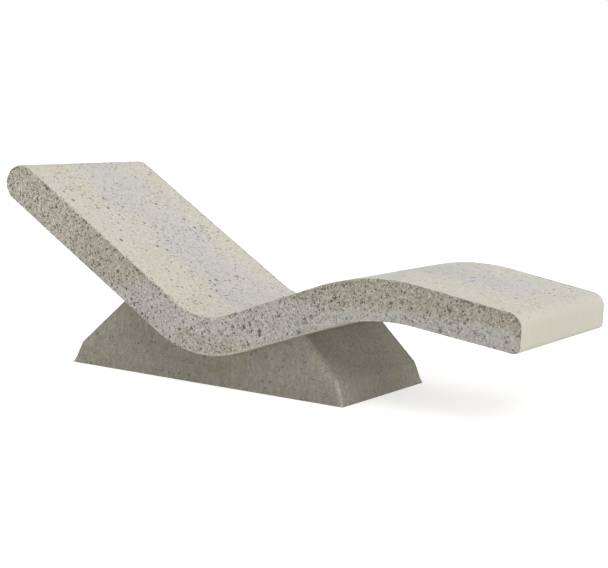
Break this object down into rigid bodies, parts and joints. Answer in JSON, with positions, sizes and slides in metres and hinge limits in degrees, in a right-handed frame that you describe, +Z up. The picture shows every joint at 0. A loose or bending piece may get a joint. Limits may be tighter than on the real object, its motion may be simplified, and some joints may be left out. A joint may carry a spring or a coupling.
{
  "type": "concrete chaise longue",
  "caption": "Free-standing precast concrete chaise longue: a wavy lounger slab with a round head end, joined by grouted bolts to a tapered base block",
  "frame": {"origin": "on the floor, under the middle of the box round the chaise longue", "axes": "+X runs from the head end to the foot end, +Y to the left of a person lying on it face up, +Z up"},
  "size_m": [1.98, 0.686, 0.6777],
  "materials": {
    "light_exposed_concrete": "cast smooth above, exposed aggregate on the sides",
    "dark_concrete": "matte cast concrete",
    "bedding_mortar": "matte",
    "reinforcing_steel": "rolled, dull",
    "zinc_plated_steel": "satin",
    "grey_chair_plastic": "matte"
  },
  "bodies": {
    "root": {"anchor_bolt_foot_left": "zinc_plated_steel", "anchor_bolt_foot_right": "zinc_plated_steel", "anchor_bolt_head_left": "zinc_plated_steel", "anchor_bolt_head_right": "zinc_plated_steel", "bar_chair_foot_left": "grey_chair_plastic", "bar_chair_foot_right": "grey_chair_plastic", "bar_chair_head_left": "grey_chair_plastic", "bar_chair_head_right": "grey_chair_plastic", "base_block": "dark_concrete", "base_cross_bar_1": "reinforcing_steel", "base_cross_bar_2": "reinforcing_steel", "base_cross_bar_3": "reinforcing_steel", "base_cross_bar_4": "reinforcing_steel", "base_cross_bar_5": "reinforcing_steel", "base_cross_bar_6": "reinforcing_steel", "base_cross_bar_7": "reinforcing_steel", "base_long_bar_1": "reinforcing_steel", "base_long_bar_2": "reinforcing_steel", "base_long_bar_3": "reinforcing_steel", "base_long_bar_4": "reinforcing_steel", "cage_link_01": "reinforcing_steel", "cage_link_02": "reinforcing_steel", "cage_link_03": "reinforcing_steel", "cage_link_04": "reinforcing_steel", "cage_link_05": "reinforcing_steel", "cage_link_06": "reinforcing_steel", "cage_link_07": "reinforcing_steel", "cage_link_08": "reinforcing_steel", "cage_link_09": "reinforcing_steel", "cage_link_10": "reinforcing_steel", "cage_link_11": "reinforcing_steel", "cage_link_12": "reinforcing_steel", "cage_link_13": "reinforcing_steel", "cage_link_14": "reinforcing_steel", "lounger_slab": "light_exposed_concrete", "lower_long_bar_1": "reinforcing_steel", "lower_long_bar_2": "reinforcing_steel", "lower_long_bar_3": "reinforcing_steel", "lower_long_bar_4": "reinforcing_steel", "mortar_bed": "bedding_mortar", "socket_anchor_bar_foot": "reinforcing_steel", "socket_anchor_bar_head": "reinforcing_steel", "threaded_socket_foot_left": "zinc_plated_steel", "threaded_socket_foot_right": "zinc_plated_steel", "threaded_socket_head_left": "zinc_plated_steel", "threaded_socket_head_right": "zinc_plated_steel", "upper_long_bar_1": "reinforcing_steel", "upper_long_bar_2": "reinforcing_steel", "upper_long_bar_3": "reinforcing_steel", "upper_long_bar_4": "reinforcing_steel"}
  },
  "joints": []
}
